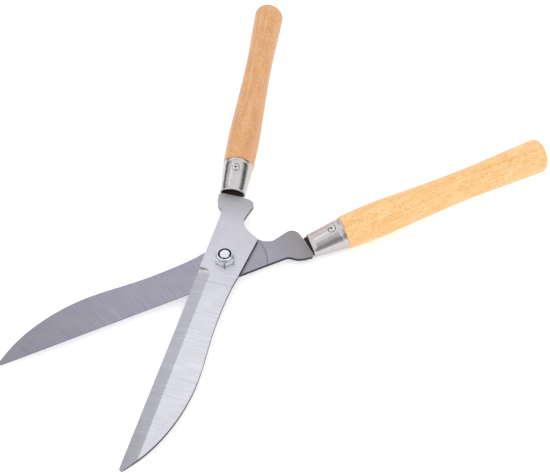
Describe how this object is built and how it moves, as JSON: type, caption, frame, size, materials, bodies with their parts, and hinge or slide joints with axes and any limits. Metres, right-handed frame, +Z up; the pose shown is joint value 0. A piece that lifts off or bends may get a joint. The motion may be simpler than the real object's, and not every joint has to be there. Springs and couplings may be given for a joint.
{
  "type": "hedge shears",
  "caption": "Hand hedge shears with straight bevelled plate blades on a bolted pivot, bent tangs, metal ferrules and turned oval wooden handles.",
  "frame": {"origin": "centre of the pivot bolt head's lower face, on the pivot axis", "axes": "+Z up the pivot bolt toward the nut, -Y toward the blade tips along the middle of the blade opening, +X toward the front blade's tip side"},
  "size_m": [0.3686, 0.4834, 0.0751],
  "materials": {
    "blade_steel": "cross-ground steel, matte lilac grey",
    "ferrule_metal": "bright nickel plate",
    "plated_steel": "bright zinc plate",
    "lock_nylon": "dark nylon",
    "handle_wood": "thin clear varnish on beech"
  },
  "bodies": {
    "rear_half": {"rear_blade": "blade_steel", "rear_ferrule": "ferrule_metal", "rear_ferrule_screw": "plated_steel", "rear_handle": "handle_wood", "pivot_bolt": "plated_steel", "pivot_nut": "plated_steel", "nut_lock_ring": "lock_nylon"},
    "front_half": {"front_blade": "blade_steel", "front_ferrule": "ferrule_metal", "front_ferrule_screw": "plated_steel", "front_handle": "handle_wood"}
  },
  "joints": [
    {"name": "blade_pivot", "type": "hinge", "parent": "rear_half", "child": "front_half", "pos_m": [0, 0, 0.0103], "axis": [0, 0, 1], "range_deg": [-38.5, 45]}
  ]
}
